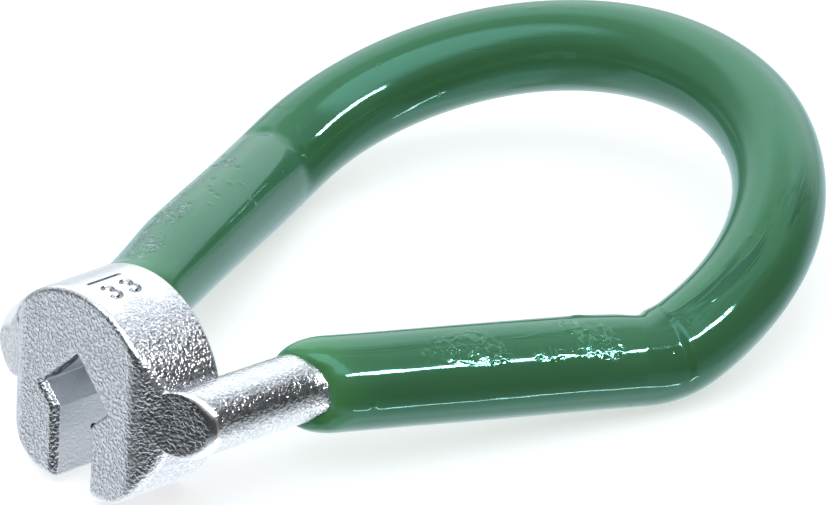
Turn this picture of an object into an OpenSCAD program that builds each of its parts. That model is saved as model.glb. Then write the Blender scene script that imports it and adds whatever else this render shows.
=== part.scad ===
// Spoke wrench with a drum head, a square socket with an open slot, a rod bent to a cranked loop,
// and a dipped grip over the rod.
// The origin is the centre of the socket on the head's front face. X runs along the socket, from
// the front face towards the loop. Z is up, and the slot opens downwards.

/* [Head] */
// Outside diameter of the drum
head_d = 10.9; // [9:0.1:14]
// Depth of the drum, from the front face to the back face
head_depth = 4.65; // [3.5:0.05:7]
// Height of the socket's centre above the flat tips of the two legs
leg_drop = 4.85; // [4:0.05:5.5]
// Square socket, measured across its flats
socket_flats = 3.3; // [3.2:0.05:4]
// Width of the slot that lets the spoke into the socket
slot_w = 2.6; // [2:0.1:3]
// Width of the flat front face, between the two slanted flanks
face_w = 8.1; // [7:0.1:9]
// Angle of each steep flank beside the front face
flank_angle = 42; // [30:1:55]
// Angle of the flatter end of the rod outside each flank, from the front face
rod_end_angle = 19; // [5:1:30]
// Radius that rounds the drum's front and back edges
edge_r = 0.25; // [0.1:0.05:0.5]
// Width of the bevel that leads a spoke into the slot on its far side
slot_bevel = 0.3; // [0.1:0.05:0.5]

/* [Rod] */
// Diameter of the rod
rod_d = 3.44; // [3:0.02:4]
// Distance between the centre lines of the two rod ends
stub_spacing = 12.1; // [11:0.02:14]
// Height of the rod's centre line above the socket's axis at the front face
rod_rise = 0.38; // [0:0.02:0.6]
// Angle by which the two arms slope down towards the loop
arm_droop = 1.4; // [0:0.02:4]
// Distance along the arms from the front face to the flare bend
bend_run = 9.1; // [8:0.1:12]
// Radius of the flare bend, at the rod's centre line
bend_r = 5; // [4:0.1:8]
// Angle by which each arm spreads outwards after the flare bend
arm_flare = 25; // [18:0.1:30]
// Distance along the arms from the front face to the crank bend
crank_run = 26.3; // [22:0.1:32]
// Radius of the crank bend, at the rod's centre line
crank_r = 5; // [3:0.1:8]
// Angle between the plane of the loop and the plane of the arms
loop_tilt = 24.1; // [10:0.1:40]
// Angle by which each side still spreads outwards where the loop begins
loop_spread = 5.3; // [2:0.1:18]

/* [Grip] */
// Outside diameter of the dipped grip
grip_d = 4.72; // [4.4:0.02:6]
// Straight run of the arm between the flare bend and the middle of the grip's rounded end
grip_run = 0.3; // [0.1:0.1:3]

/* [Fit] */
// Clearance between the rod and the head, and between the rod and the grip
seat_gap = 0.01; // [0.005:0.005:0.05]
// Amount by which the bar's radius is smaller in a bend than in a straight run
bend_thinning = 0.004; // [0.002:0.001:0.02]
// Distance that each straight run reaches into the bend next to it
bend_lap = 0.02; // [0.01:0.01:0.05]
// Distance that each cutting shape runs past what it cuts
overrun = 1; // [0.5:0.5:3]

/* [Hidden] */
$fn = 96;

// Half of a width or a diameter
function half(v) = v / 2;

// Distance from the corner of two straight runs to the start of a bend of radius r between them
function setback(r, angle) = r * tan(half(angle));

// Straight runs of the rod, and how far out the crank bend lies
stub_run = bend_run - setback(bend_r, arm_flare);
crank_y = half(stub_spacing) + (crank_run - bend_run) * tan(arm_flare);

// First direction of the loop, given along the arm, sideways from it and up from it
to_loop = [
  cos(loop_spread) * cos(loop_tilt) * cos(arm_flare) + sin(loop_spread) * sin(arm_flare),
  sin(loop_spread) * cos(arm_flare) - cos(loop_spread) * cos(loop_tilt) * sin(arm_flare),
  cos(loop_spread) * sin(loop_tilt)
];

// The crank bend turns from the arm's direction to the loop's first direction, and the roll turns
// the bar about its own line first, so that the bend goes inwards and up
crank_angle = acos(to_loop.x);
crank_roll = atan2(to_loop.z, to_loop.y);
crank_set = setback(crank_r, crank_angle);
arm_run = (crank_run - bend_run) / cos(arm_flare) - setback(bend_r, arm_flare) - crank_set;

// The loop is one arc in its own tilted plane, with its centre on the plane of symmetry
loop_r = (crank_y + crank_set * sin(loop_spread)) / cos(loop_spread);
loop_centre_run = crank_set * cos(loop_spread) + loop_r * sin(loop_spread);
loop_sweep = 180 + 2 * loop_spread;

// Where the steep flank meets the flatter rod end
seam_y = half(head_d) - edge_r;
seam_set = (seam_y - half(face_w)) * tan(flank_angle);

// Height of the slot's upper end, where it opens into the socket, and the socket's side corner
slot_top = half(slot_w) - socket_flats / sqrt(2);
corner_y = socket_flats / sqrt(2);

// Size of the blocks that cut the flanks and the flat below the legs
block = head_d + head_depth;

// Places a shape given in the plane of the arms
module arm_plane() {
  translate([0, 0, rod_rise])
    rotate([0, arm_droop, 0])
      children();
}

// The same shape on both sides of the plane of symmetry
module both_sides() {
  children();
  mirror([0, 1, 0])
    children();
}

// Start of one rod end, looking along it towards the loop
module from_stub() {
  arm_plane()
    translate([0, half(stub_spacing), 0])
      children();
}

// Moves what follows to the end of a straight run along the X axis
module after_run(run) {
  translate([run, 0, 0])
    children();
}

// Moves what follows to the end of a bend from the X axis towards Y
module after_bend(radius, angle) {
  translate([0, radius, 0])
    rotate([0, 0, angle])
      translate([0, -radius, 0])
        children();
}

// Straight bar of radius r along the X axis, reaching a little into the bends at its ends
module straight(run, r) {
  translate([-bend_lap, 0, 0])
    rotate([0, 90, 0])
      cylinder(r = r, h = run + 2 * bend_lap);
}

// Bar that bends from the X axis towards Y, a trace thinner than the straight bar
module bend(radius, angle, r) {
  translate([0, radius, 0])
    rotate([0, 0, -90])
      rotate_extrude(angle = angle)
        translate([radius, 0])
          circle(r = r - bend_thinning);
}

// The bend that turns from the arm inwards and up to the loop
module crank_bend(r) {
  rotate([crank_roll, 0, 0])
    bend(crank_r, crank_angle, r);
}

// The loop's own arc, reaching a little into the crank bends at its ends
module loop_arc(r) {
  lap_angle = atan(bend_lap / loop_r);
  arm_plane()
    translate([crank_run, 0, 0])
      rotate([0, -loop_tilt, 0])
        translate([loop_centre_run, 0, 0])
          rotate([0, 0, -half(loop_sweep) - lap_angle])
            rotate_extrude(angle = loop_sweep + 2 * lap_angle)
              translate([loop_r, 0])
                circle(r = r);
}

// The whole bent bar, with its ends still square
module rod_path(r) {
  both_sides()
    from_stub() {
      straight(stub_run, r);
      after_run(stub_run) {
        bend(bend_r, arm_flare, r);
        after_bend(bend_r, arm_flare) {
          straight(arm_run, r);
          after_run(arm_run)
            crank_bend(r);
        }
      }
    }
  loop_arc(r);
}

// Block in front of a face that slants back from the line through x and y
module slant_block(x, y, angle) {
  translate([x, y, 0])
    rotate([0, 0, -angle])
      translate([-block, -block, -half(block)])
        cube([block, 2 * block, block]);
}

// What lies in front of the two flanks: the steep flank inside, the flatter rod end outside
module flank_cuts() {
  both_sides()
    intersection() {
      slant_block(0, half(face_w), flank_angle);
      slant_block(seam_set, seam_y, rod_end_angle);
    }
}

// Bar that leaves a bevel along an edge of the front face, from its start upwards
module bevel_bar(run) {
  side = slot_bevel * sqrt(2);
  rotate([0, 0, 45])
    translate([-half(side), -half(side), 0])
      cube([side, side, run]);
}

// Drum with rounded edges, lying along the X axis
module drum() {
  body_r = half(head_d);
  rotate([0, 90, 0])
    rotate_extrude()
      union() {
        square([body_r - edge_r, head_depth]);
        translate([0, edge_r])
          square([body_r, head_depth - 2 * edge_r]);
        translate([body_r - edge_r, edge_r])
          circle(r = edge_r);
        translate([body_r - edge_r, head_depth - edge_r])
          circle(r = edge_r);
      }
}

module head() {
  color([0.78, 0.79, 0.81])
    difference() {
      drum();
      // Square socket, standing on one corner
      rotate([45, 0, 0])
        translate([-overrun, -half(socket_flats), -half(socket_flats)])
          cube([head_depth + 2 * overrun, socket_flats, socket_flats]);
      // Slot from the socket down through the drum
      translate([-overrun, -half(slot_w), -head_d])
        cube([head_depth + 2 * overrun, slot_w, head_d]);
      // Flat tips of the two legs
      translate([-overrun, -half(block), -leg_drop - block])
        cube([head_depth + 2 * overrun, block, block]);
      flank_cuts();
      // Bevel along the far side of the slot and of the socket's lower half
      translate([0, half(slot_w), -head_d])
        bevel_bar(head_d + slot_top);
      translate([0, half(slot_w), slot_top])
        rotate([-45, 0, 0])
          bevel_bar((corner_y - half(slot_w)) * sqrt(2));
      // Channels in the drum's sides that hold the rod's ends
      both_sides()
        from_stub()
          translate([-overrun, 0, 0])
            straight(stub_run, half(rod_d) + seat_gap);
    }
}

module handle_rod() {
  color([0.80, 0.81, 0.83])
    difference() {
      rod_path(half(rod_d));
      flank_cuts();
    }
}

// First straight of the grip, with a rounded start
module grip_start(run, r) {
  rotate([0, 90, 0])
    rotate_extrude() {
      square([r, run + bend_lap]);
      intersection() {
        circle(r = r);
        translate([0, -r])
          square(r);
      }
    }
}

module grip_coating() {
  grip_r = half(grip_d);
  color([0.16, 0.45, 0.27])
    difference() {
      union() {
        both_sides()
          from_stub()
            after_run(stub_run)
              after_bend(bend_r, arm_flare) {
                after_run(grip_run)
                  grip_start(arm_run - grip_run, grip_r);
                after_run(arm_run)
                  crank_bend(grip_r);
              }
        loop_arc(grip_r);
      }
      rod_path(half(rod_d) + seat_gap);
    }
}

head();
handle_rod();
grip_coating();
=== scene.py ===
import bpy
import numpy as np
from mathutils import Matrix


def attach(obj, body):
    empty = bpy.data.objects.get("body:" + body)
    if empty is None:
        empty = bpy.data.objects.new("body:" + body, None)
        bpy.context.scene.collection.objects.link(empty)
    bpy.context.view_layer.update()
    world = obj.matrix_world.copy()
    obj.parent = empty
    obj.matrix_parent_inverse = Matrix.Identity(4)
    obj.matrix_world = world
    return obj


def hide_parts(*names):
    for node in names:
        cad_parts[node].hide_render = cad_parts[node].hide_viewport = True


# A spoke wrench: a cast drum head, a plated rod bent to a cranked loop, and a dipped vinyl grip.
# The tool's lengths are in millimetres until a mesh takes them, and the stage's are in metres.
# A run is a distance along the rod from its near end. The angle phi goes round the rod, from 0 on
# top to a quarter turn on the outer side of the loop.

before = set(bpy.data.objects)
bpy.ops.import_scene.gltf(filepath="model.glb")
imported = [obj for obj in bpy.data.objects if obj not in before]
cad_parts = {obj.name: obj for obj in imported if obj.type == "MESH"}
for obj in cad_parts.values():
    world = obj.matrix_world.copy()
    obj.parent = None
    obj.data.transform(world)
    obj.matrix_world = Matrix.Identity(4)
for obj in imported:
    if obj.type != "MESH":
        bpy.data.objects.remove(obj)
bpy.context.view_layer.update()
MM = 0.001
QUARTER = np.pi / 2

# Sizes, as in the part's source
head_d, head_depth, leg_drop = 10.9, 4.65, 4.85
socket_flats, slot_w, slot_bevel = 3.3, 2.6, 0.3
face_w, edge_r = 8.1, 0.25
flank_angle, rod_end_angle = np.radians(42), np.radians(19)
rod_r, grip_r = 1.72, 2.36
stub_spacing, rod_rise, arm_droop = 12.1, 0.38, np.radians(1.4)
bend_run, bend_r, arm_flare = 9.1, 5.0, np.radians(25)
crank_run, crank_r = 26.3, 5.0
loop_tilt, loop_spread = np.radians(24.1), np.radians(5.3)
seam_y = head_d / 2 - edge_r
seam_set = (seam_y - face_w / 2) * np.tan(flank_angle)

# Distance between the points of the rod's centre line
point_step = 0.02


def unit(v):
    """The vectors v, each made 1 long."""
    return v / np.linalg.norm(v, axis=-1, keepdims=True)


def share_of(v):
    """v kept between 0 and 1."""
    return np.clip(v, 0, 1)


def eased(v):
    """Cubic blend of a share v, level at 0 and at 1."""
    return v * v * (3 - 2 * v)


def set_back(radius, angle):
    """Distance from the corner of two straight runs to the start of the bend between them."""
    return radius * np.tan(angle / 2)


def bend(start, ahead, inward, radius, t):
    """Points of an arc that leaves start in the direction ahead and turns by t towards inward."""
    t = np.reshape(t, (-1, 1))
    return start + radius * (np.sin(t) * ahead + (1 - np.cos(t)) * inward)


def centre_line():
    """Points of the rod's centre line from the near end to the far end, and where its parts end.

    Straight stub, flare bend, straight arm, crank bend that turns inwards and up, then one arc in
    the tilted plane of the loop. The other half is the mirror image. Y is negative on the near side.
    """
    x_axis, y_axis = np.eye(3)[:2]
    arm_way = np.array([np.cos(arm_flare), np.sin(arm_flare), 0])
    loop_way = np.array([np.cos(loop_spread) * np.cos(loop_tilt), np.sin(loop_spread),
                         np.cos(loop_spread) * np.sin(loop_tilt)])
    crank_angle = np.arccos(arm_way @ loop_way)
    crank_inward = unit(loop_way - (loop_way @ arm_way) * arm_way)
    bend_set, crank_set = set_back(bend_r, arm_flare), set_back(crank_r, crank_angle)
    stub_run = bend_run - bend_set
    arm_run = (crank_run - bend_run) / np.cos(arm_flare) - bend_set - crank_set

    at = np.array([0, stub_spacing / 2, 0])
    stub = at + np.arange(0, stub_run, point_step)[:, None] * x_axis
    at = at + stub_run * x_axis
    flare = bend(at, x_axis, y_axis, bend_r, np.arange(0, arm_flare, point_step / bend_r))
    at = bend(at, x_axis, y_axis, bend_r, arm_flare)
    arm = at + np.arange(0, arm_run, point_step)[:, None] * arm_way
    at = at + arm_run * arm_way
    crank = bend(at, arm_way, crank_inward, crank_r, np.arange(0, crank_angle, point_step / crank_r))

    crank_y = stub_spacing / 2 + (crank_run - bend_run) * np.tan(arm_flare)
    loop_r = (crank_y + crank_set * np.sin(loop_spread)) / np.cos(loop_spread)
    loop_ahead = np.array([np.cos(loop_tilt), 0, np.sin(loop_tilt)])
    centre_run = crank_set * np.cos(loop_spread) + loop_r * np.sin(loop_spread)
    centre = crank_run * x_axis + centre_run * loop_ahead
    sweep = QUARTER + loop_spread
    t = np.linspace(sweep, 0, int(sweep * loop_r / point_step))[:, None]
    loop = centre + loop_r * (np.cos(t) * loop_ahead + np.sin(t) * y_axis)

    near = np.vstack([stub, flare, arm, crank, loop]) * [1, -1, 1]
    whole = np.vstack([near, near[::-1][1:] * [1, -1, 1]])
    c, s = np.cos(arm_droop), np.sin(arm_droop)
    whole = whole @ np.array([[c, 0, -s], [0, 1, 0], [s, 0, c]]) + [0, 0, rod_rise]
    return whole, np.cumsum([len(stub), len(flare), len(arm), len(crank)]) * point_step


line, part_ends = centre_line()
run_at = np.concatenate([[0], np.cumsum(np.linalg.norm(np.diff(line, axis=0), axis=1))])
length = run_at[-1]
crank_middle = part_ends[2:].mean()


def on_line(s):
    """Point, up and side of the centre line at the runs s, by linear interpolation.

    The direction comes from a short chord. Up is the part of a fixed slanted vector that lies
    across the direction, and side is up turned a quarter round it, away from the loop's middle.
    """
    half_chord, slant = 0.15, np.radians(11)

    def at(v):
        """Points at the runs v."""
        return np.stack([np.interp(v, run_at, line[:, k]) for k in range(3)], -1)

    ahead = unit(at(np.clip(s + half_chord, 0, length)) - at(np.clip(s - half_chord, 0, length)))
    slanted = np.array([-np.sin(slant), 0, np.cos(slant)])
    up = unit(slanted - (ahead @ slanted)[..., None] * ahead)
    return at(s), up, np.cross(ahead, up)


def tube(s, radius, phi):
    """Points of a tube round the rod: circles of the given radii, carried along to the runs s."""
    at, up, side = on_line(s)
    across = np.cos(phi)[..., None] * up + np.sin(phi)[..., None] * side
    return at + np.asarray(radius)[..., None] * across


def ring_faces(rows, cols, closed):
    """Quads between rows of a grid whose columns close on themselves, and its rows too if closed."""
    i = np.arange(rows if closed else rows - 1)[:, None]
    j = np.arange(cols)[None, :]
    k, n = (i + 1) % rows, (j + 1) % cols
    return np.stack([i * cols + j, i * cols + n, k * cols + n, k * cols + j], -1).reshape(-1, 4)


def piece(name, verts, faces):
    """A new piece from vertices in millimetres and faces, smooth shaded, riding on the tool."""
    mesh = bpy.data.meshes.new(name)
    verts = np.asarray(verts, float) * MM
    faces = np.asarray(faces, np.int32)
    mesh.vertices.add(len(verts))
    mesh.vertices.foreach_set("co", verts.ravel())
    mesh.loops.add(faces.size)
    mesh.loops.foreach_set("vertex_index", faces.ravel())
    mesh.polygons.add(len(faces))
    mesh.polygons.foreach_set("loop_start", np.arange(0, faces.size, faces.shape[1], dtype=np.int32))
    mesh.polygons.foreach_set("use_smooth", np.ones(len(faces), bool))
    mesh.update(calc_edges=True)
    mesh.validate()
    obj = bpy.data.objects.new(name, mesh)
    bpy.context.scene.collection.objects.link(obj)
    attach(obj, "root")
    return obj


def attribute(obj, name, values):
    """A number, or a vector of three, for each vertex, for the material to read."""
    values = np.asarray(values, np.float32)
    vector = values.size == 3 * len(obj.data.vertices)
    a = obj.data.attributes.new(name, "FLOAT_VECTOR" if vector else "FLOAT", "POINT")
    a.data.foreach_set("vector" if vector else "value", values.ravel())


# The dipped grip: where the skin starts, the run in which it reaches its full thickness and how far
# its start dips into the rod, then the room that the hidden inner wall keeps at its ends and side
skin_start, skin_rise, skin_dip = 8.35, 1.9, 0.02
wall_lap, wall_dip = 0.1, 0.03

# Rows and columns of the skin, and its stretches of evenly spaced rows: where each one ends, and
# its count. The last stretch ends at the far start.
skin_cols, start_rows, wall_rows, far_rows = 124, 22, 90, 250
stretches = ((14.5, 26), (26.5, 150), (27.9, 11), (28.4, 16), (36, 54), (74, 130))

# The skin's near start: its run at angles in degrees round the rod, and the far one's push back
edge_curve = ((-180, 8.7), (-100, 8.5), (-26, 8.65), (11, 8.85), (28, 9.12), (41, 9.48), (59, 9.75),
              (82, 9.94), (100, 9.95), (118, 9.53), (131, 9.05), (160, 8.8), (180, 8.7))
far_push = 0.9

# Places on the skin, each a round bell: the run and angle of its middle, and how far it reaches
# along and round the rod
wrinkled_places = ((16.1, 0.36, 1.6, 0.42), (17.9, 0.58, 1.4, 0.40), (21.0, 0.80, 1.0, 0.2),
                   (22.1, 0.05, 0.45, 0.16), (23.5, 0.36, 1.35, 0.5), (24.2, 0.8, 0.85, 0.24))
pitted_places = ((95.0, -0.05, 1.6, 0.3), (90.6, 0.0, 1.5, 0.24), (93.2, 0.42, 3.6, 0.17),
                 (86.2, 0.42, 3.0, 0.14), (83.4, 0.1, 0.7, 0.18), (90.0, 0.80, 7.0, 0.13))
bubble_places = ((11.42, 1.57, 0.14, 0.06), (14.8, 0.51, 0.15, 0.064),
                 (85.55, -1.0, 0.15, 0.064), (85.7, -0.34, 0.12, 0.05))
ridge_place = (23.5, -0.42, 0.42, 0.1)

# Dents, each with its depth and its place: the inner corner of the near crank and the hollow before
# it, a hollow past the far crank, and a trace off the outside of the loop's end
dents = ((0.30, (26.5, -1.0, 0.75, 0.75)), (0.10, (25.5, -0.8, 1.4, 0.8)),
         (0.16, (78.3, 0.15, 0.6, 0.3)), (0.016, (length / 2, QUARTER, 7, 1.2)))

# Heights and depths on the skin
wave_high, wrinkle_high, ridge_high, bubble_high, speck_high, pit_deep = 0.022, 0.015, 0.05, 0.05, 0.04, 0.06


def swing(phi, middle=0.0):
    """Angle from middle to phi, between minus half a turn and half a turn."""
    return (phi - middle + np.pi) % (2 * np.pi) - np.pi


def bell(phi, middle, wide):
    """Bell of height 1 round the rod, at the angle middle."""
    return np.exp(-(swing(phi, middle) / wide) ** 2)


def bump_at(s, phi, run, middle, long, wide):
    """Round bell of height 1 at a run and an angle, long along the rod and wide round it."""
    return np.exp(-((s - run) / long) ** 2) * bell(phi, middle, wide)


def bumps(s, phi, places):
    """Sum of the round bells at some places."""
    return sum(bump_at(s, phi, *place) for place in places)


def waves(s, phi, seed, low, high, count):
    """Smooth random height, mostly from -1 to 1: a sum of sine waves along s and round phi."""
    rng = np.random.default_rng(seed)
    f = rng.uniform(low, high, count)
    m = rng.integers(0, 4, count)
    p = rng.uniform(0, 2 * np.pi, (2, count))
    h = sum(np.sin(f[k] * s + p[0, k]) * np.cos(m[k] * phi + p[1, k]) for k in range(count))
    return h / np.sqrt(count)


def lattice(u, v, seed, rows, cols):
    """Smooth random height from 0 to 1: random values on a grid of unit cells with a cubic blend.

    The grid repeats after a number of rows along u and of columns along v.
    """
    table = np.random.default_rng(seed).random((rows, cols))
    i, j = np.floor(u).astype(int), np.floor(v).astype(int)
    a, b = eased(u - i), eased(v - j)

    def at(m, n):
        """Value at a corner of each cell."""
        return table[(i + m) % rows, (j + n) % cols]

    return (at(0, 0) * (1 - a) + at(1, 0) * a) * (1 - b) + (at(0, 1) * (1 - a) + at(1, 1) * a) * b


def skin_lattice(s, phi, cell, cols, seed, rows):
    """Lattice height on the skin, with cells of a length along the rod and a number of them round it."""
    return lattice(s / cell, phi / (2 * np.pi) * cols, seed, rows, cols)


def wrinkles(s, phi):
    """Worm-like folds from -1 to 1: the ridges where two random heights pass their middle value."""
    h = 0.7 * skin_lattice(s, phi, 0.38, 50, 11, 400) + 0.3 * skin_lattice(s, phi, 0.21, 84, 12, 700)
    return 1 - 2 * share_of(np.abs(h - 0.5) / 0.2)


def wrinkled(s, phi):
    """How wrinkled the skin is, from 0 to 1: ragged patches on top of the near arm."""
    ragged = skin_lattice(s, phi, 0.9, 20, 13, 130)
    return share_of((bumps(s, phi, wrinkled_places) - 0.42 + 0.5 * (ragged - 0.5)) * 5)


def swirled(run, phi):
    """Where dark threads show, painted as dark reflections of the folds, from 0 to 1: past the
    near crank, up the loop and along the near arm.
    """
    aside = swing(phi)
    middle = 0.22 + 0.055 * np.clip(run - 31, 0, 9)
    on_loop = np.exp(-((run - 33.7) / 6.5) ** 4 - (aside - middle) ** 2 / 0.12)
    return on_loop + 0.5 * np.exp(-((run - 17) / 7) ** 4 - ((aside - 0.40) / 0.2) ** 4)


def spots(s, phi, seed, count, runs, angles, sizes):
    """Sum of small round bells at random places, with random radii between the two sizes."""
    rng = np.random.default_rng(seed)
    h = np.zeros_like(s)
    for _ in range(count):
        w = rng.uniform(*sizes)
        h += bump_at(s, phi, rng.uniform(*runs), rng.uniform(*angles), w, w / grip_r)
    return h


def ridge(s, phi):
    """Height of a short rough ridge along the inner side of the near arm."""
    rough = 0.4 + 0.8 * lattice(s / 0.25, phi * 3, 14, 500, 19)
    return ridge_high * bump_at(s, phi, *ridge_place) * rough


def hollow(s, phi):
    """Depth of the hollow inside the far crank: a bell along the rod that fades towards the top
    and the underside."""
    depth, long = 0.04, 1.3
    inner = share_of(-np.sin(phi)) ** 2
    return depth * inner * np.exp(-((s - length + crank_middle) / long) ** 2)


def ledge(s, phi):
    """Depth of the low ledge on the near crank: the skin sinks evenly and climbs back sooner."""
    depth, sink_from, sink_long, climb_to, climb_long = 0.2, 26.1, 1.85, 28.42, 0.5
    sink = share_of((s - sink_from) / sink_long) * eased(share_of((climb_to - s) / climb_long))
    return depth * sink * bell(phi, 0.88, 0.8)


def far_crease(s, phi):
    """Depth of the crease across the far crank: a narrow bell along the rod, whose run grows
    towards the inner side and which fades out at both ends of the crease."""
    depth, long, top_run, slant = 0.02, 0.3, 75.9, 1.9
    aside = swing(phi)
    run = top_run - slant * np.clip(aside + 0.035, -1.2, 0)
    across = share_of((aside + 1.15) / 0.2) * share_of((0.25 - aside) / 0.25)
    return depth * across * np.exp(-((s - run) / long) ** 2)


def far_thinning(s, phi, rise):
    """How far the skin thins slowly towards its far start, on top and outside."""
    depth, begin, long = 0.40, 16.5, 6.5
    slow = eased(share_of((begin - (length - s)) / long))
    return depth * slow * rise * bell(phi, 0.5, 0.95)


def skin_relief(s, phi, edge, rise):
    """Height of the skin over its even radius: waves, wrinkles, a ridge, bubbles and specks stand
    out, and pits, dents, the hollow, the ledge, the crease and the far thinning go in."""
    h = wave_high * share_of((edge - skin_start) / 4) * waves(s, phi, 3, 0.15, 0.7, 12)
    h += wrinkle_high * wrinkled(s, phi) * wrinkles(s, phi)
    h += ridge(s, phi) + bubble_high * bumps(s, phi, bubble_places)
    h += speck_high * spots(s, phi, 22, 26, (12, 92), (-2.4, 2.4), (0.07, 0.13))
    h -= pit_deep * spots(s, phi, 21, 12, (80, 97), (-0.35, 0.5), (0.08, 0.14))
    for depth, place in dents:
        h -= depth * bump_at(s, phi, *place)
    return h - hollow(s, phi) - ledge(s, phi) - far_crease(s, phi) - far_thinning(s, phi, rise)


def skin_runs():
    """Runs of the skin's rows: a quarter cosine at each start, and even stretches between."""
    near = skin_start + skin_rise * (1 - np.cos(np.linspace(0, QUARTER, start_rows)))
    far = length - near[::-1]
    rows, last = [near], near[-1]
    for end, count in (*stretches, (far[0], far_rows)):
        rows.append(np.linspace(last, end, count)[1:])
        last = end
    return np.concatenate([*rows, far[1:]])


def grip_surface():
    """The grip: a circle of nearly constant radius carried along the rod, as a closed skin.

    The radius rises from the rod's at each end on a quarter ellipse. The near start is pushed back
    on the outer side, so that the edge is scalloped, and the far one evenly. Columns lie closer
    together on top. It gives the even runs, the pushed runs, the radii and the angles.
    """
    turn = np.linspace(0, 2 * np.pi, skin_cols, endpoint=False)[None, :]
    phi = turn - 0.38 * np.sin(turn - 0.35)
    s = skin_runs()[:, None] + 0 * phi
    edge = np.minimum(s, length - s)
    rise = share_of((edge - skin_start) / skin_rise)
    foot = rod_r - skin_dip
    r = foot + (grip_r - foot) * np.sqrt(share_of(1 - (1 - rise) ** 2))
    near_push = np.interp(np.degrees(swing(phi)), *zip(*edge_curve)) - skin_start
    ease = share_of(1 - (edge - skin_start) / 5)
    at = np.where(s < length / 2, s + near_push * ease, s + far_push * ease)
    return s, at, r + skin_relief(s, phi, edge, rise), phi


def grip_mesh():
    """Outer skin rows followed by inner wall rows, joined into one closed ring of rings.

    For each vertex it also gives the place on the unrolled skin, how wrinkled, streaked and pitted
    the skin is there, and how thin. The streaks are dark threads painted as reflections.
    """
    s, at, r, phi = grip_surface()
    back = at[-1] - wall_lap + (at[0] - at[-1] + 2 * wall_lap) * np.linspace(0, 1, wall_rows)[:, None]
    rows = np.concatenate([tube(at, r, phi), tube(back, rod_r - wall_dip, phi)])
    run = np.concatenate([at, back])
    flow = np.stack([run, grip_r * np.cos(phi) + 0 * run, grip_r * np.sin(phi) + 0 * run], -1)
    patches = np.stack([wrinkled(s, phi), swirled(at, phi), bumps(at, phi, pitted_places)], -1)
    patches = np.concatenate([patches, np.zeros(back.shape + (3,))])
    thin = np.exp(-(np.maximum(np.minimum(s, length - s) - skin_start, 0) / 2.2) ** 2)
    thin = np.concatenate([thin, 0 * back])
    return rows.reshape(-1, 3), ring_faces(len(rows), skin_cols, True), flow, patches, thin


# The bent rod: the radius of its worn rims, and the runs between which its stubs have close rows
rim_r, far_top_rim_r = 0.42, 1.0
stub_from, stub_to = 2.9, 12
rod_cols, face_rows, rim_rows, lead_rows, stub_rows, body_rows = 112, 13, 8, 14, 70, 170


def end_set(y):
    """How far back the rod's end face lies at a distance y from the plane of symmetry."""
    steep = (y - face_w / 2) * np.tan(flank_angle)
    flat = seam_set + (y - seam_y) * np.tan(rod_end_angle)
    soft = 0.12
    h = share_of(0.5 + 0.5 * (flat - steep) / soft)
    return flat * (1 - h) + steep * h - soft * h * (1 - h)


def rod_mesh():
    """The rod: a circle carried along the centre line, closed by a slanted end face at each end.

    The rows of an end start at its middle and spread out over the slanted face, then go round a
    quarter circle at the rim. The rim's radius fades out where the rod enters the drum, and the
    far rim is rounder on top. It also gives how worn each vertex is, which is also where a
    highlight is painted on the rims.
    """
    phi = np.linspace(0, 2 * np.pi, rod_cols, endpoint=False)[None, :]
    outward = np.sin(phi)
    bare = 0.5 + 0.9 * outward
    proud = 0.012
    share = np.concatenate([np.linspace(0.004, 1, face_rows + 1)[:-1], np.ones(rim_rows)])[:, None]
    turn = np.concatenate([np.zeros(face_rows), np.linspace(0, QUARTER, rim_rows)])[:, None]
    stub = np.linspace(stub_from, stub_to, stub_rows)[:, None] + 0 * phi

    def end(rim):
        """Runs and radii of the rows at one end, from its middle to the end of the stub."""
        rho = (rod_r - rim) * share + rim * np.sin(turn)
        tip = end_set(stub_spacing / 2 + rho * outward) + rim * (1 - np.cos(turn)) - proud
        lead = tip[-1:] + (stub_from - tip[-1:]) * np.linspace(0, 1, lead_rows + 2)[1:-1, None]
        return np.concatenate([tip, lead, stub]), np.concatenate([rho, rod_r + 0 * lead, rod_r + 0 * stub])

    near_rim = rim_r * np.clip(bare, 0.05, 1)
    near, near_r = end(near_rim)
    far, far_r = end(near_rim + far_top_rim_r * share_of(np.cos(phi - 0.5)) ** 2)
    body = np.linspace(stub_to, length - stub_to, body_rows)[1:-1, None] + 0 * phi
    rows = tube(np.concatenate([near, body, length - far[::-1]]),
                np.concatenate([near_r, rod_r + 0 * body, far_r[::-1]]), phi)
    # Wear on the end rims, which also sets where their highlight is painted: most at the middle of the
    # rounding and on its seam lines, more on the outer side.
    worn_and_highlight = np.concatenate([np.sin(2 * turn) + 0 * phi, np.zeros((lead_rows, rod_cols)), 0 * stub])
    worn_and_highlight[len(turn) - 1] = 0.35
    worn_and_highlight[len(turn)] = 0.25
    worn_and_highlight = worn_and_highlight * share_of(bare)
    worn_and_highlight = np.concatenate([worn_and_highlight, 0 * body, worn_and_highlight[::-1]])
    return rows.reshape(-1, 3), ring_faces(len(rows), rod_cols, False), worn_and_highlight


# The cast head: widths over which its edges are rounded, and the burr at the socket's lower corner
front_round, back_round, tip_round, flank_round = 0.3, 0.35, 0.5, 0.34
corner_round, hole_round, far_hole_round, burr_round, stamp_round = 0.08, 0.12, 0.22, 0.06, 0.05
burr_at, burr_r = (0.2, -1.24, -1.13), 0.17

# The stamped mark: the places of its two digits and its bar, half the bar's length, half a line's
# width, the mark's depth, the run that it takes up, and a height below which nothing is stamped
digit_x, digit_y, bar_x, bar_y, bar_half = (1.5, 2.68), -0.68, 2.1, 0.5, 0.95
line_half, stamp_deep, stamp_from, stamp_to, stamp_low = 0.08, 0.1, 0.9, 3.4, 4

# The cells in which the head's surface is found, and the room round the head
net_step, end_room, side_room = 0.066, 0.2, 0.15


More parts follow.
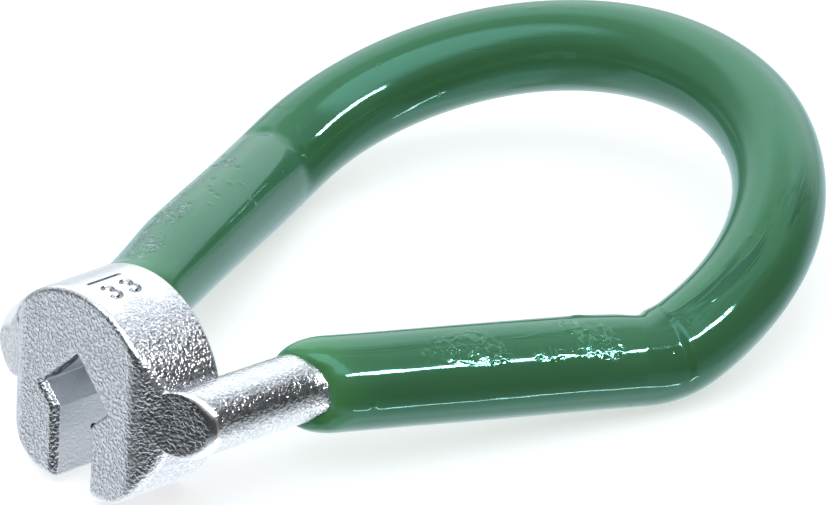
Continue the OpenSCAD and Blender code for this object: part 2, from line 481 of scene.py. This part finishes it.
def smooth_max(a, b, k):
    """Larger of two distances, with the edge between their surfaces rounded over a width k."""
    h = share_of(0.5 + 0.5 * (a - b) / k)
    return b * (1 - h) + a * h + k * h * (1 - h)


def outside(x, y, z):
    """Signed distances to the drum's side, front, back, leg tips and flanks."""
    flank = -x * np.cos(flank_angle) + (np.abs(y) - face_w / 2) * np.sin(flank_angle)
    return np.sqrt(y * y + z * z) - head_d / 2, -x, x - head_depth, -leg_drop - z, flank


def hole_distance(x, y, z):
    """Signed distance to the slot and the square socket, with the bevel on the slot's far side."""
    lead = np.clip(slot_bevel - x, 0, slot_bevel)
    far_lead = np.where(y > 0, lead, 0)
    slot = np.maximum(np.maximum(y - slot_w / 2 - far_lead, -y - slot_w / 2), z)
    low_far = (y - z) / np.sqrt(2) - socket_flats / 2 - lead
    low_near = (-y - z) / np.sqrt(2) - socket_flats / 2
    high = (np.abs(y) + z) / np.sqrt(2) - socket_flats / 2
    socket = smooth_max(smooth_max(low_far, low_near, corner_round), high, corner_round)
    return np.minimum(slot, socket)


def far_top(y, z):
    """1 beside the upper far side of the socket and 0 elsewhere, with a soft passage."""
    return share_of(y / 0.15) * share_of((z + 0.1) / 0.2) * share_of(4 - y - z)


def burr_distance(x, y, z):
    """Signed distance to the small ball of the burr."""
    bx, by, bz = burr_at
    return np.sqrt((x - bx) ** 2 + (y - by) ** 2 + (z - bz) ** 2) - burr_r


def three(u, v):
    """Distance to a plain digit 3 a little under 1 mm high: two rings, each open on its left side."""
    rings = []
    for middle, size, way in ((0.25, 0.235, 1), (-0.27, 0.285, -1)):
        ring = np.abs(np.hypot(u, v - middle) - size)
        opening = np.minimum(0.04 - u, way * (middle - v) + 0.12)
        rings.append(np.maximum(ring, opening))
    return np.minimum(*rings)


def stamp(x, y, z):
    """Signed distance to the mark stamped into the drum's top: a bar above the plain number 33."""
    digits = np.minimum(*(three(x - at, y - digit_y) for at in digit_x))
    bar = np.maximum(np.abs(x - bar_x) - bar_half, np.abs(y - bar_y))
    bottom = head_d / 2 - stamp_deep - np.sqrt(y * y + z * z)
    return np.maximum(np.minimum(digits, bar) - line_half, bottom)


def head_distance(x, y, z):
    """Signed distance to the head: its outer faces joined by roundings, less the slot, the socket
    and the stamped mark, and with the burr added."""
    d, *others = outside(x, y, z)
    for face, width in zip(others, (front_round, back_round, tip_round, flank_round)):
        d = smooth_max(d, face, width)
    d = smooth_max(d, -hole_distance(x, y, z), hole_round + far_hole_round * far_top(y, z))
    d = -smooth_max(-d, -burr_distance(x, y, z), burr_round)
    return smooth_max(d, np.where(z > stamp_low, -stamp(x, y, z), -9), stamp_round)


def close_to(depth, width):
    """1 at depth 0, falling evenly to 0 at a depth of width."""
    return share_of(1 - depth / width)


def head_marks(v):
    """Five marks from 0 up for each vertex v: worn bright near an outer edge or the socket's upper
    far lip, and painted brighter there as a highlight, on the socket's walls, dark in ragged
    patches inside the upper far wall and as a painted shadow round the burr, worn flat on the
    drum's top and painted lighter there as a highlight, and on the stamped mark. Depths are
    measured from the outer faces and the hole."""
    x, y, z = v.T
    depth = np.sort(-np.stack(outside(x, y, z)), 0)
    hole = hole_distance(x, y, z)
    # Near the outer edges and the socket's upper far lip: wear, and a painted highlight along them.
    edge = close_to(depth[1], 0.36) * close_to(depth[0], 0.15)
    lip = far_top(y, z) * close_to(hole, 0.1) * close_to(x, 0.14)
    wall = close_to(hole, 0.06) * share_of(depth[0] / 0.12) * share_of((x - slot_bevel) / 0.1)
    # Dark ragged patches inside the socket's upper far wall, and a painted shadow round the burr.
    dark = far_top(y, z) * close_to(hole, 0.06) * share_of((x - 0.08) / 0.1) * share_of((1.5 - x) / 0.5)
    burr = share_of(0.5 - burr_distance(x, y, z) / burr_r)
    turn, radius = np.degrees(np.arctan2(y, z)), np.hypot(y, z)
    # The drum's worn top, where a lighter tone is also painted as a highlight.
    flat = share_of((turn + 24 + 4 * np.sin(2.3 * x)) / 10) * share_of((60 - turn) / 20)
    flat = flat * 2 * np.clip(radius - 4.7, 0, 0.5) * (x > 0.05)
    stamped = share_of(1.5 - np.abs(stamp(x, y, z)) / 0.06) * (z > stamp_low)
    stamped = stamped * (x > stamp_from) * (x < stamp_to) * (radius < head_d / 2 - 0.001)
    return eased(np.maximum(edge, lip)), wall, np.maximum(0.72 * dark, 2 * burr), flat, stamped


def net(field, low, high, h):
    """Closed quad mesh of field = 0 in a box: one vertex in each cell that the surface crosses.

    Each vertex is the mean of the points where the surface crosses the cell's edges, and is then
    moved along the field's slope onto the surface. Each crossed grid edge gives one quad.
    """
    n = np.ceil((np.array(high) - low) / h).astype(int) + 1
    f = field(*np.meshgrid(*(low[k] + h * np.arange(n[k]) for k in range(3)), indexing="ij"))
    shape = tuple(n - 1)
    total, count = np.zeros(shape + (3,)), np.zeros(shape)
    cuts = []
    for k in range(3):
        a = f.take(range(n[k] - 1), k)
        b = f.take(range(1, n[k]), k)
        cut = (a < 0) != (b < 0)
        t = np.where(cut, a / np.where(cut, a - b, 1), 0)
        o = [j for j in range(3) if j != k]
        for p, q in ((0, 0), (0, 1), (1, 0), (1, 1)):
            part = [slice(None)] * 3
            part[o[0]] = slice(p, p + shape[o[0]])
            part[o[1]] = slice(q, q + shape[o[1]])
            c = cut[tuple(part)]
            count += c
            total[..., k] += c * t[tuple(part)]
            total[..., o[0]] += c * p
            total[..., o[1]] += c * q
        cuts.append((cut, a < 0, o))
    used = count > 0
    index = np.full(shape, -1)
    index[used] = np.arange(used.sum())
    v = np.array(low) + h * (np.argwhere(used) + total[used] / count[used][:, None])
    quads = []
    for k, (cut, inside, o) in enumerate(cuts):
        e = np.argwhere(cut)
        e = e[(e[:, o] > 0).all(1) & (e[:, o] < np.array(shape)[o]).all(1)]
        ring = []
        for back in ((1, 1), (0, 1), (0, 0), (1, 0)):
            c = e.copy()
            c[:, o] -= back
            ring.append(index[tuple(c.T)])
        ring = np.stack(ring, 1)
        flip = inside[tuple(e.T)] ^ (k == 1)
        quads.append(np.where(flip[:, None], ring, ring[:, ::-1]))
    tiny = 1e-3
    for _ in range(3):
        slope = [(field(*(v + d).T) - field(*(v - d).T)) / (2 * tiny) for d in tiny * np.eye(3)]
        slope = np.stack(slope, 1)
        move = field(*v.T) / np.maximum((slope * slope).sum(1), 0.2)
        v = v - np.clip(move, -h / 3, h / 3)[:, None] * slope
    return v, np.concatenate(quads)


class Nodes:
    """Makes and links the nodes of one material or of the world."""

    def __init__(self, tree):
        tree.nodes.clear()
        self.new = tree.nodes.new
        self.link = tree.links.new

    def math(self, kind, *values):
        """A Math node of a kind, with numbers or other nodes' outputs as its inputs."""
        n = self.new("ShaderNodeMath")
        n.operation = kind
        for socket, v in zip(n.inputs, values):
            if isinstance(v, (int, float)):
                socket.default_value = v
            else:
                self.link(v, socket)
        return n.outputs[0]

    def times(self, first, *others):
        """The product of all values."""
        for v in others:
            first = self.math("MULTIPLY", first, v)
        return first

    def plus(self, a, b):
        """The sum of two values."""
        return self.math("ADD", a, b)

    def step(self, value, low, high, a=0.0, b=1.0):
        """a below low, b above high, and a smooth passage between them."""
        n = self.new("ShaderNodeMapRange")
        n.interpolation_type = "SMOOTHSTEP"
        self.link(value, n.inputs["Value"])
        for name, v in zip(("From Min", "From Max", "To Min", "To Max"), (low, high, a, b)):
            n.inputs[name].default_value = v
        return n.outputs[0]

    def ramp(self, value, *stops):
        """The number or colour that the stops give for a value, evenly blended between them."""
        r = self.new("ShaderNodeValToRGB")
        while len(r.color_ramp.elements) < len(stops):
            r.color_ramp.elements.new(0.5)
        for e, (position, c) in zip(r.color_ramp.elements, stops):
            e.position = position
            e.color = (c, c, c, 1) if np.isscalar(c) else (*c, 1)
        self.link(value, r.inputs[0])
        return r.outputs[0]

    def mix(self, factor, a, b):
        """Colour a where the factor is 0 and colour b where it is 1."""
        n = self.new("ShaderNodeMix")
        n.data_type = "RGBA"
        self.link(factor, n.inputs["Factor"])
        for socket, v in ((n.inputs["A"], a), (n.inputs["B"], b)):
            if isinstance(v, tuple):
                socket.default_value = (*v, 1)
            else:
                self.link(v, socket)
        return n.outputs["Result"]

    def place(self):
        """The place on the piece, in metres on its own axes."""
        return self.new("ShaderNodeTexCoord").outputs["Object"]

    def mark(self, name, output="Fac"):
        """The value of one of the piece's own vertex attributes."""
        n = self.new("ShaderNodeAttribute")
        n.attribute_name = name
        return n.outputs[output]

    def split(self, vector):
        """The three numbers of a vector."""
        n = self.new("ShaderNodeSeparateXYZ")
        self.link(vector, n.inputs[0])
        return n.outputs

    def along(self, share):
        """The place on the unrolled skin in millimetres, with its run cut to a share, so that a
        pattern on it is drawn out along the rod."""
        n = self.new("ShaderNodeMapping")
        n.inputs["Scale"].default_value = (share, 1, 1)
        self.link(self.mark("flow", "Vector"), n.inputs["Vector"])
        return n.outputs[0]

    def noise(self, place, scale, detail=2.0, rough=0.5, distortion=0.0):
        """Soft noise from 0 to 1, with a scale in cells per unit of the place."""
        n = self.new("ShaderNodeTexNoise")
        n.inputs["Scale"].default_value = scale
        n.inputs["Detail"].default_value = detail
        n.inputs["Roughness"].default_value = rough
        n.inputs["Distortion"].default_value = distortion
        self.link(place, n.inputs["Vector"])
        return n.outputs["Fac"]

    def bump(self, height, distance, strength, normal=None):
        """A bumped normal, on top of another one if it is given. The distance is in millimetres."""
        b = self.new("ShaderNodeBump")
        b.inputs["Distance"].default_value = distance * MM
        b.inputs["Strength"].default_value = strength
        self.link(height, b.inputs["Height"])
        if normal is not None:
            self.link(normal, b.inputs["Normal"])
        return b.outputs["Normal"]

    def seen(self, path):
        """1 for rays from the camera, straight or through clear pieces, and 0 for other rays."""
        return self.math("MAXIMUM", path.outputs["Is Camera Ray"], path.outputs["Is Transmission Ray"])


def material(name, build):
    """A node material: build gets the node maker, the shader and the output."""
    m = bpy.data.materials.new(name)
    m.use_nodes = True
    n = Nodes(m.node_tree)
    out = n.new("ShaderNodeOutputMaterial")
    shader = n.new("ShaderNodeBsdfPrincipled")
    n.link(shader.outputs[0], out.inputs[0])
    build(n, shader, out)
    return m


def cast_plating(n, shader, out):
    """Bright plating over cast grain: worm-like swells about 0.3 mm across and fine pores.

    The grain fades on the worn outer edges, which are brightest, their bright tone a painted
    highlight as well as wear, and on the socket's walls. The drum's worn top is painted lighter as
    a highlight, a shadow is painted dark round the burr, and ragged patches inside the socket's
    upper far wall are dark.
    """
    # The edge and top tones are worn plating and also painted highlights; the darkest tone is a painted
    # shadow round the burr and the dark of ragged patches inside the socket.
    dull, bright, wall_grey = (0.49, 0.505, 0.54), (0.75, 0.765, 0.80), (0.66, 0.68, 0.71)
    worn_flat_highlight, worn_edge_highlight = (0.82, 0.83, 0.85), (0.97, 0.98, 0.99)
    stamped_grey, burr_shadow_and_dark_patch = (0.22, 0.225, 0.25), (0.02, 0.02, 0.025)
    place = n.place()
    rim, wall = n.mark("rim"), n.mark("wall")
    dark, flat, stamped = n.split(n.mark("wear", "Vector"))
    grain = n.ramp(n.noise(place, 6400, 0.8, 0.5, 0.6), (0.32, 0.0), (0.68, 1.0))
    keep = n.times(n.step(rim, 0.25, 0.9, 1, 0.12), n.step(wall, 0.2, 0.9, 1, 0.3),
                   n.step(flat, 0.1, 0.9, 1, 0.2))
    normal = n.bump(n.times(grain, keep), 0.022, 1.0)
    normal = n.bump(n.times(n.noise(place, 12000, 1), keep), 0.005, 0.8, normal)
    n.link(normal, shader.inputs["Normal"])
    tone = n.plus(n.times(grain, 0.6), n.times(n.noise(place, 900, 3), 0.5))
    skin = n.ramp(tone, (0.15, dull), (0.85, bright))
    skin = n.mix(wall, skin, wall_grey)
    # Worn smooth top of the drum, painted lighter as a highlight.
    skin = n.mix(n.times(flat, 0.7), skin, worn_flat_highlight)
    skin = n.mix(n.times(stamped, 0.85), skin, stamped_grey)
    # Painted highlight along the worn outer edges and the socket's lip, as well as wear.
    skin = n.mix(n.step(rim, 0.25, 0.8), skin, worn_edge_highlight)
    # Painted shadow round the burr, and dark ragged patches inside the socket's upper far wall.
    ragged = n.plus(dark, n.times(n.noise(place, 3400), 0.9))
    n.link(n.mix(n.step(ragged, 1.02, 1.12), skin, burr_shadow_and_dark_patch), shader.inputs["Base Color"])
    gloss = n.ramp(n.noise(place, 2500), (0.3, 0.16), (0.7, 0.26))
    gloss = n.plus(gloss, n.times(rim, 0.15))
    n.link(n.plus(gloss, n.times(wall, 0.16)), shader.inputs["Roughness"])
    shader.inputs["Metallic"].default_value = 1


def rod_plating(n, shader, out):
    """Bright plating on the bent rod with close dimples, worn bright round the two ends, where a
    highlight is painted too.
    """
    dull, bright, worn_edge_highlight = (0.52, 0.535, 0.56), (0.76, 0.775, 0.80), (0.95, 0.96, 0.98)
    place = n.place()
    rim = n.mark("rim")
    grain = n.ramp(n.noise(place, 5600, 1, 0.5, 0.6), (0.32, 0.0), (0.68, 1.0))
    keep = n.step(rim, 0.1, 0.7, 1, 0.15)
    n.link(n.bump(n.times(grain, keep), 0.017, 1.0), shader.inputs["Normal"])
    tone = n.plus(n.times(grain, 0.5), n.times(n.noise(place, 700, 3), 0.6))
    skin = n.ramp(tone, (0.15, dull), (0.85, bright))
    # Painted highlight on the worn rims round the rod's ends, as well as wear.
    n.link(n.mix(n.step(rim, 0.2, 0.8), skin, worn_edge_highlight), shader.inputs["Base Color"])
    n.link(n.ramp(n.noise(place, 2500), (0.3, 0.14), (0.7, 0.24)), shader.inputs["Roughness"])
    shader.inputs["Metallic"].default_value = 1


def dipped_vinyl(n, shader, out):
    """Glossy dipped vinyl: deep green with slow colour drift and streaks along the rod, paler where
    it is thin, with dark threads that are painted dark reflections of the folds, dark and chalky
    specks, pale curls in the wrinkles that are painted highlights on their ridges, and pits."""
    deep, full, thinned = (0.043, 0.142, 0.050), (0.056, 0.178, 0.071), (0.095, 0.30, 0.085)
    # The dark thread tone is painted dark reflection of the folds, and the pale curl tone is painted
    # highlight on the wrinkles' ridges.
    painted_dark_streak, dark_speck = (0.014, 0.062, 0.026), (0.01, 0.04, 0.02)
    painted_curl_highlight, chalk_grey = (0.13, 0.33, 0.19), (0.40, 0.48, 0.46)
    place = n.place()
    fold, swirl, pitted = n.split(n.mark("patches", "Vector"))
    streak = n.noise(n.along(0.12), 0.9, 3, 0.55, 0.4)
    shade = n.plus(n.times(streak, 0.5), n.times(n.noise(place, 120, 3, 0.55), 0.5))
    base = n.ramp(shade, (0.32, deep), (0.68, full))
    base = n.mix(n.times(n.mark("thin"), 0.55), base, thinned)
    # Bumped threads where the skin is swirled, painted dark as reflections of the folds.
    thread = n.ramp(n.noise(n.along(0.11), 2.4, 2, 0.55, 0.9), (0.40, 1.0), (0.52, 0.0))
    thread = n.times(thread, swirl)
    base = n.mix(n.times(thread, 0.66), base, painted_dark_streak)
    specks = n.ramp(n.noise(place, 6500, 1), (0.385, 1.0), (0.445, 0.0))
    specks = n.times(specks, n.step(pitted, 0.15, 0.65))
    base = n.mix(n.times(specks, 0.85), base, dark_speck)
    chalk = n.ramp(n.noise(place, 3800, 1), (0.56, 0.0), (0.62, 1.0))
    chalk = n.times(chalk, n.step(pitted, 0.3, 0.8))
    base = n.mix(n.times(chalk, 0.5), base, chalk_grey)
    # Curls on the wrinkles, bumped and painted pale as highlights along their ridges.
    curl = n.noise(place, 1500, 1, 0.5, 0.7)
    curl = n.ramp(curl, (0.468, 0.0), (0.486, 1.0), (0.506, 1.0), (0.524, 0.0))
    curl = n.times(curl, n.times(fold, 0.6))
    n.link(n.mix(curl, base, painted_curl_highlight), shader.inputs["Base Color"])
    pits = n.ramp(n.noise(place, 2600, 1), (0.22, 0.0), (0.30, 1.0))
    folds = n.times(n.noise(place, 2600, 1, 0.5, 0.8), fold)
    normal = n.bump(streak, 0.035, 0.5)
    normal = n.bump(thread, 0.03, 0.6, normal)
    normal = n.bump(pits, 0.02, 0.25, normal)
    normal = n.bump(folds, 0.018, 1.0, normal)
    normal = n.bump(curl, 0.02, 0.8, normal)
    normal = n.bump(n.math("SUBTRACT", 1.0, specks), 0.04, 1.0, normal)
    n.link(normal, shader.inputs["Normal"])
    n.link(n.ramp(n.noise(place, 800), (0.3, 0.04), (0.7, 0.09)), shader.inputs["Roughness"])
    shader.inputs["IOR"].default_value = 1.5
    shader.inputs["Specular IOR Level"].default_value = 0.66
    shader.inputs["Specular Tint"].default_value = (0.38, 1.0, 0.93, 1)
    shader.inputs["Sheen Weight"].default_value = 0.38
    shader.inputs["Sheen Roughness"].default_value = 0.4
    shader.inputs["Sheen Tint"].default_value = (0.34, 0.9, 1.0, 1)


# The tool's three pieces
verts, faces, flow, patches, thin = grip_mesh()
grip = piece("vinyl_grip", verts, faces)
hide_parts("grip_coating")
attribute(grip, "flow", flow)
attribute(grip, "patches", patches)
attribute(grip, "thin", thin)
grip.data.materials.append(material("dipped_vinyl", dipped_vinyl))

verts, faces, worn_and_highlight = rod_mesh()
rod = piece("bent_rod", verts, faces)
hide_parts("handle_rod")
# rim: wear, and a painted highlight round the rod's ends.
attribute(rod, "rim", worn_and_highlight)
rod.data.materials.append(material("rod_plating", rod_plating))

side = head_d / 2 + side_room
low_corner = [-end_room, -side, -leg_drop - end_room]
high_corner = [head_depth + end_room, side, side]
verts, faces = net(head_distance, low_corner, high_corner, net_step)
head = piece("cast_head", verts, faces)
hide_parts("head")
rim, wall, dark, flat, stamped = head_marks(verts)
# rim: wear, and a painted highlight along the head's edges.
attribute(head, "rim", rim)
attribute(head, "wall", wall)
# The third attribute carries the socket's dark patches with the painted shadow round the burr, the worn top
# with its painted lighter tone, and the stamped mark.
attribute(head, "wear", np.stack([dark, flat, stamped], -1))
head.data.materials.append(material("cast_plating", cast_plating))


def white_floor(n, shader, out):
    """Matt floor with a glow for the camera, so that it is white and keeps a faint shadow."""
    floor_glow = 0.62
    shader.inputs["Base Color"].default_value = (0.5, 0.5, 0.5, 1)
    shader.inputs["Roughness"].default_value = 0.9
    shader.inputs["Specular IOR Level"].default_value = 0.0
    glow = n.new("ShaderNodeEmission")
    n.link(n.times(n.seen(n.new("ShaderNodeLightPath")), floor_glow), glow.inputs["Strength"])
    add = n.new("ShaderNodeAddShader")
    n.link(shader.outputs[0], add.inputs[0])
    n.link(glow.outputs[0], add.inputs[1])
    n.link(add.outputs[0], out.inputs[0])


# The floor leans a little, because the tool rests on the back edges of its two leg tips and on its
# two crank bends. These are the X and Z of both, in millimetres.
tip_back, tip_low, bend_front, bend_low = 4.4, -4.87, 25.7, -2.6
floor_reach = 1.5
lean = np.arctan2(bend_low - tip_low, bend_front - tip_back)
floor_z = MM * (tip_low - tip_back * np.tan(lean))
corners = [(x * np.cos(lean), y, floor_z + x * np.sin(lean))
           for x, y in floor_reach * np.array([(-1, -1), (1, -1), (1, 1), (-1, 1)])]
mesh = bpy.data.meshes.new("floor")
mesh.from_pydata(corners, [], [(0, 1, 2, 3)])
floor = bpy.data.objects.new("floor", mesh)
bpy.context.scene.collection.objects.link(floor)
floor.data.materials.append(material("floor", white_floor))
floor.visible_glossy = False
floor.visible_diffuse = False
floor.visible_shadow = False

# The room's level at shares of the height, from straight down to straight up, and its colour
room_levels = ((0, 0.9), (0.22, 0.8), (0.45, 0.5), (0.67, 0.62), (0.83, 0.85), (1, 1.1))
room_colour = (0.90, 0.955, 1.0, 1)

# Zones of the room. Each has its compass angle, half width and softness, the two heights between
# which its lower edge fades in and the two between which its upper edge fades out, all in degrees.
# A bright zone then has its gain and a dark one its loss.
bright_zones = ((-152, 62, 24, (32, 50), (84, 92), 2.2),
                (45, 49, 26, (-10, 24), (50, 66), 1.05),
                (112, 40, 14, (-74, -60), (-20, -10), 0.42),
                (-112, 58, 24, (-88, -80), (-50, -38), 0.5),
                (0, 75, 30, (-88, -78), (-38, -24), 0.6))
dark_zones = ((-150, 58, 14, (-47, -21), (8, 34), 0.905),
              (-53, 38, 26, (-18, -3), (28, 50), 0.87),
              (112, 46, 16, (-15, -5), (4, 18), 0.86))
backdrop_zone = (44, 62, 36, (-70, -50), (-4, 8))


def zone(n, way, azimuth, half, soft, low, high):
    """1 inside a zone of the room and 0 outside, for a way given by its X, its Y and its height in
    degrees: the product of soft steps at half the zone's width to each side and at its lower and
    upper edges."""
    x, y, height = way
    c, s = float(np.cos(np.radians(azimuth))), float(np.sin(np.radians(azimuth)))
    front = n.plus(n.times(x, c), n.times(y, s))
    aside = n.math("SUBTRACT", n.times(y, c), n.times(x, s))
    turn = n.math("ABSOLUTE", n.math("DEGREES", n.math("ARCTAN2", aside, front)))
    across = n.step(turn, half - soft / 2, half + soft / 2, 1, 0)
    return n.times(across, n.step(height, *low), n.step(height, *high, 1, 0))


def studio(tree):
    """The studio round the tool: white for the camera, and for the tool a soft room with a large
    light above the camera, a window behind on the left and a dark side at the front."""
    n = Nodes(tree)
    x, y, z = n.split(n.new("ShaderNodeTexCoord").outputs["Generated"])
    height = n.math("DEGREES", n.math("ARCSINE", z))
    way = (x, y, height)
    level = n.ramp(n.plus(n.math("DIVIDE", height, 180.0), 0.5), *room_levels)
    for *edges, gain in bright_zones:
        level = n.plus(level, n.times(zone(n, way, *edges), gain))
    for *edges, loss in dark_zones:
        level = n.times(level, n.math("SUBTRACT", 1.0, n.times(zone(n, way, *edges), loss)))
    # Metal and vinyl show the white backdrop where it stands behind the tool
    path = n.new("ShaderNodeLightPath")
    backdrop = n.times(zone(n, way, *backdrop_zone), path.outputs["Is Glossy Ray"])
    level = n.math("MAXIMUM", level, backdrop)
    room = n.new("ShaderNodeBackground")
    room.inputs["Color"].default_value = room_colour
    n.link(level, room.inputs["Strength"])
    white = n.new("ShaderNodeBackground")
    white.inputs["Color"].default_value = (1, 1, 1, 1)
    mix = n.new("ShaderNodeMixShader")
    n.link(n.seen(path), mix.inputs[0])
    n.link(room.outputs[0], mix.inputs[1])
    n.link(white.outputs[0], mix.inputs[2])
    n.link(mix.outputs[0], n.new("ShaderNodeOutputWorld").inputs[0])


world = bpy.data.worlds.new("studio")
bpy.context.scene.world = world
world.use_nodes = True
studio(world.node_tree)


def direction(azimuth, elevation):
    """Unit vector at a compass angle from +X towards +Y and a height above the horizon."""
    a, e = np.radians(azimuth), np.radians(elevation)
    return np.array([np.cos(a) * np.cos(e), np.sin(a) * np.cos(e), np.sin(e)])


def aimed(name, data, at, back, roll):
    """A lamp or camera at a place in metres, facing away from the direction back. It is level
    before its roll in degrees."""
    obj = bpy.data.objects.new(name, data)
    right = unit(np.cross([0, 0, 1], back))
    up = np.cross(back, right)
    r = np.radians(roll)
    m = np.eye(4)
    m[:3] = np.stack([np.cos(r) * right + np.sin(r) * up, np.cos(r) * up - np.sin(r) * right, back, at], 1)
    obj.matrix_world = Matrix(m.tolist())
    bpy.context.scene.collection.objects.link(obj)
    return obj


# Two thin lamps draw the bright lines along the grip and are left out of its even light. Each has
# its compass angle and elevation in degrees, its width and height in metres, its power in watts,
# its roll in degrees and its colour.
lamp_middle, lamp_distance = np.array([0.02, 0, 0]), 0.6
strips = (("strip", -89.5, 40, 0.33, 0.046, 3.6, 4, (1, 0.97, 0.97)),
          ("low_strip", -85, -42, 0.3, 0.014, 0.26, 0, (1, 0.85, 0.85)))
for name, azimuth, elevation, width, height, power, roll, colour in strips:
    data = bpy.data.lights.new(name, "AREA")
    data.shape = "RECTANGLE"
    data.size, data.size_y, data.energy, data.color = width, height, power, colour
    back = direction(azimuth, elevation)
    lamp = aimed(name, data, lamp_middle + lamp_distance * back, back, roll)
    lamp.visible_camera = False
    lamp.visible_diffuse = False

# The camera: its focal length and the picture's width in pixels, its place, the direction from the
# tool back to it, and its roll
focal_px, picture_px = 7000, 828
camera_at = np.array([-0.204704, -0.220271, 0.144668])
camera_back, camera_roll = direction(-135.90212, 24.37616), 3.40616
cam = bpy.data.cameras.new("camera")
cam.sensor_width = 36
cam.lens = focal_px * cam.sensor_width / picture_px
bpy.context.scene.camera = aimed("camera", cam, camera_at, camera_back, camera_roll)
bpy.context.scene.view_settings.view_transform = "Standard"
